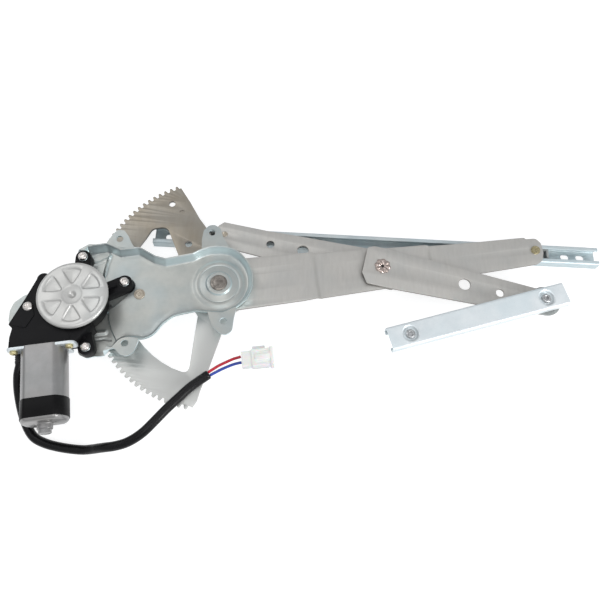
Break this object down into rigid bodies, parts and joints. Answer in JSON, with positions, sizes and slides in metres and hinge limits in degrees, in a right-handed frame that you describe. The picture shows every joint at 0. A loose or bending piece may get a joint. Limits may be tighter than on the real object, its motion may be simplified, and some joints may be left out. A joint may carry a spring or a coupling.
{
  "type": "window regulator",
  "caption": "Crossed-arm electric window regulator: mounting plate with gear motor, toothed sector and lift arm, equalizer arm, glass rail, panel rail and lead with connector.",
  "frame": {"origin": "the main pivot's axis in the plane of the glass rail's back", "axes": "+X along the glass rail, away from the motor; +Y from the main pivot towards the glass rail; +Z along the pivot towards the door's inner panel"},
  "size_m": [0.5722, 0.2689, 0.0543],
  "materials": {
    "zinc_plate": "zinc-plated sheet, satin, light blue-grey",
    "light_zinc": "bright zinc-plated sheet, satin, near white",
    "arm_steel": "plain pressed steel, satin, warm grey",
    "sector_steel": "fine-blanked steel, satin, tan grey",
    "pin_steel": "turned steel, slightly brown, satin",
    "bright_steel": "machined steel, bright",
    "can_steel": "zinc-plated deep-drawn steel, glossy grey",
    "cover_metal": "pressed sheet, satin light grey",
    "yellow_zinc": "yellow passivated, satin",
    "black_plastic": "glass-filled moulding, black, satin",
    "black_rubber": "black, matt",
    "shoe_plastic": "acetal, dark grey",
    "washer_plastic": "acetal, dark grey",
    "white_plastic": "acetal, cream",
    "milky_nylon": "nylon, milky white, slightly translucent",
    "red_insulation": "red insulation",
    "blue_insulation": "blue insulation",
    "brown_bakelite": "moulded phenolic, brown",
    "bronze": "sintered bronze",
    "copper": "enamelled and bare copper",
    "magnet_black": "dark grey, matt",
    "carbon": "carbon, matt"
  },
  "bodies": {
    "carrier": {"mounting_plate": "zinc_plate", "pivot_pin": "pin_steel", "pivot_spacer": "pin_steel", "stop_rivet": "pin_steel", "gear_housing": "black_plastic", "housing_cover": "cover_metal", "cover_seal": "black_rubber", "motor_screws": "bright_steel", "ear_sleeves": "bright_steel", "plate_nuts": "zinc_plate", "housing_screw": "bright_steel", "wheel_axle": "bright_steel", "pinion_bush": "bronze", "motor_can": "can_steel", "can_band": "black_plastic", "flange_screws": "yellow_zinc", "magnets": "magnet_black", "end_bearing": "bronze", "front_bearing": "bronze", "brush_holder": "brown_bakelite", "brushes": "carbon", "lead_boot": "black_rubber", "lead_sleeve": "black_rubber", "red_wire": "red_insulation", "blue_wire": "blue_insulation", "connector": "milky_nylon", "contacts": "yellow_zinc"},
    "armature": {"armature_shaft": "bright_steel", "armature_core": "magnet_black", "windings": "copper", "commutator": "copper"},
    "wheel": {"worm_wheel": "white_plastic", "wheel_damper": "black_rubber", "drive_pinion": "bright_steel"},
    "lift": {"lift_arm": "arm_steel", "gear_sector": "sector_steel", "sector_rivets": "pin_steel", "lift_roller_pin": "pin_steel"},
    "equalizer": {"equalizer_rear": "arm_steel", "equalizer_front": "arm_steel", "crossing_rivet": "pin_steel", "crossing_washers": "washer_plastic", "upper_roller_pin": "yellow_zinc", "lower_roller_pin": "pin_steel"},
    "left_shoe": {"left_shoe": "shoe_plastic"},
    "right_shoe": {"right_shoe": "shoe_plastic"},
    "lower_shoe": {"lower_shoe": "shoe_plastic"},
    "glass_rail": {"glass_rail": "zinc_plate"},
    "panel_rail": {"panel_rail": "light_zinc", "panel_rail_nuts": "light_zinc"}
  },
  "joints": [
    {"name": "lift_pivot", "type": "hinge", "parent": "carrier", "child": "lift", "pos_m": [0, 0, 0.022], "axis": [0, 0, 1], "range_deg": [-50, 38]},
    {"name": "wheel_spin", "type": "hinge", "parent": "carrier", "child": "wheel", "pos_m": [-0.12589, -0.02814, 0.03], "axis": [0, 0, 1], "range_deg": [-507, 667]},
    {"name": "armature_spin", "type": "hinge", "parent": "carrier", "child": "armature", "pos_m": [-0.15392, -0.03333, 0.037], "axis": [0.1822, -0.9833, 0], "continuous": true},
    {"name": "equalizer_pivot", "type": "hinge", "parent": "lift", "child": "equalizer", "pos_m": [0.15727, 0.02943, 0.019], "axis": [0, 0, 1], "range_deg": [-76, 100]},
    {"name": "left_shoe_turn", "type": "hinge", "parent": "equalizer", "child": "left_shoe", "pos_m": [0, 0.05886, 0.006], "axis": [0, 0, 1], "range_deg": [-50, 38]},
    {"name": "right_shoe_turn", "type": "hinge", "parent": "lift", "child": "right_shoe", "pos_m": [0.31454, 0.05886, 0.006], "axis": [0, 0, 1], "range_deg": [-38, 50]},
    {"name": "glass_rail_slide", "type": "slide", "parent": "left_shoe", "child": "glass_rail", "axis": [1, 0, 0], "range_m": [-0.01, 0.01]},
    {"name": "lower_shoe_turn", "type": "hinge", "parent": "equalizer", "child": "lower_shoe", "pos_m": [0.31454, 0, 0.029], "axis": [0, 0, 1], "range_deg": [-25, 25]},
    {"name": "panel_rail_slide", "type": "slide", "parent": "lower_shoe", "child": "panel_rail", "axis": [0.9521, 0.3057, 0], "range_m": [-0.004, 0.13]}
  ],
  "couplings": [
    {"joint": "wheel_spin", "follows": "lift_pivot", "ratio": -13.333},
    {"joint": "equalizer_pivot", "follows": "lift_pivot", "ratio": -2},
    {"joint": "left_shoe_turn", "follows": "lift_pivot", "ratio": 1},
    {"joint": "right_shoe_turn", "follows": "lift_pivot", "ratio": -1}
  ]
}
